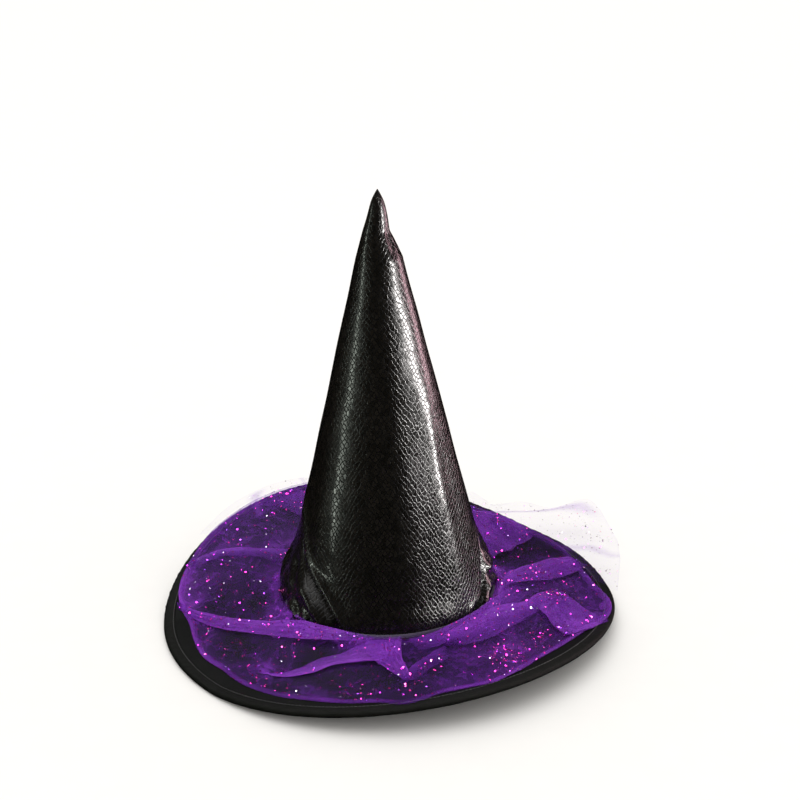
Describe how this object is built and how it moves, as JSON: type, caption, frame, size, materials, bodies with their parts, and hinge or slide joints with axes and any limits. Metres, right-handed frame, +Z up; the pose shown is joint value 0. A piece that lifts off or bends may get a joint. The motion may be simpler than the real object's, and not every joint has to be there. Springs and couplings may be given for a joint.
{
  "type": "witch hat",
  "caption": "Pointed costume hat: stiffened scale-print cone crown, round bound brim with a gentle wave, gathered tulle ruffle at the crown's base and a soft tip that flops.",
  "frame": {"origin": "on the table plane the brim rests on, under the centre of the brim", "axes": "+Z up through the crown to its tip, -Y to the wearer's front, +X to the wearer's left"},
  "size_m": [0.3998, 0.3998, 0.3789],
  "materials": {
    "scale_fabric": "black foil scale print, glossy",
    "interlining": "stiff needle felt, matt",
    "ribbon": "grosgrain ribbon, matt",
    "black_thread": "polyester thread",
    "satin": "black satin, soft sheen",
    "foam_core": "felted foam sheet, matt",
    "binding_tape": "folded satin tape",
    "spring_steel": "drawn wire",
    "crimp_metal": "crimped tube",
    "violet_band": "twill tape, matt",
    "violet_thread": "polyester thread",
    "glitter_tulle": "purple net with glitter flakes"
  },
  "bodies": {
    "hat": {"crown_shell": "scale_fabric", "crown_stiffener": "interlining", "crown_seam_tape": "ribbon", "sweatband": "ribbon", "sweatband_stitching": "black_thread", "brim_top_fabric": "satin", "brim_core": "foam_core", "brim_underside_fabric": "satin", "edge_binding": "binding_tape", "binding_stitching": "black_thread", "brim_edge_wire": "spring_steel", "edge_wire_joiner": "crimp_metal", "ruffle_gather_band": "violet_band", "ruffle_stitching": "violet_thread", "ruffle_lower_layer": "glitter_tulle", "ruffle_upper_layer": "glitter_tulle"},
    "tip": {"crown_tip": "scale_fabric"}
  },
  "joints": [
    {"name": "tip_flop", "type": "hinge", "parent": "hat", "child": "tip", "pos_m": [0.01496, 0, 0.3412], "axis": [0, 1, 0], "range_deg": [0, 80]}
  ]
}
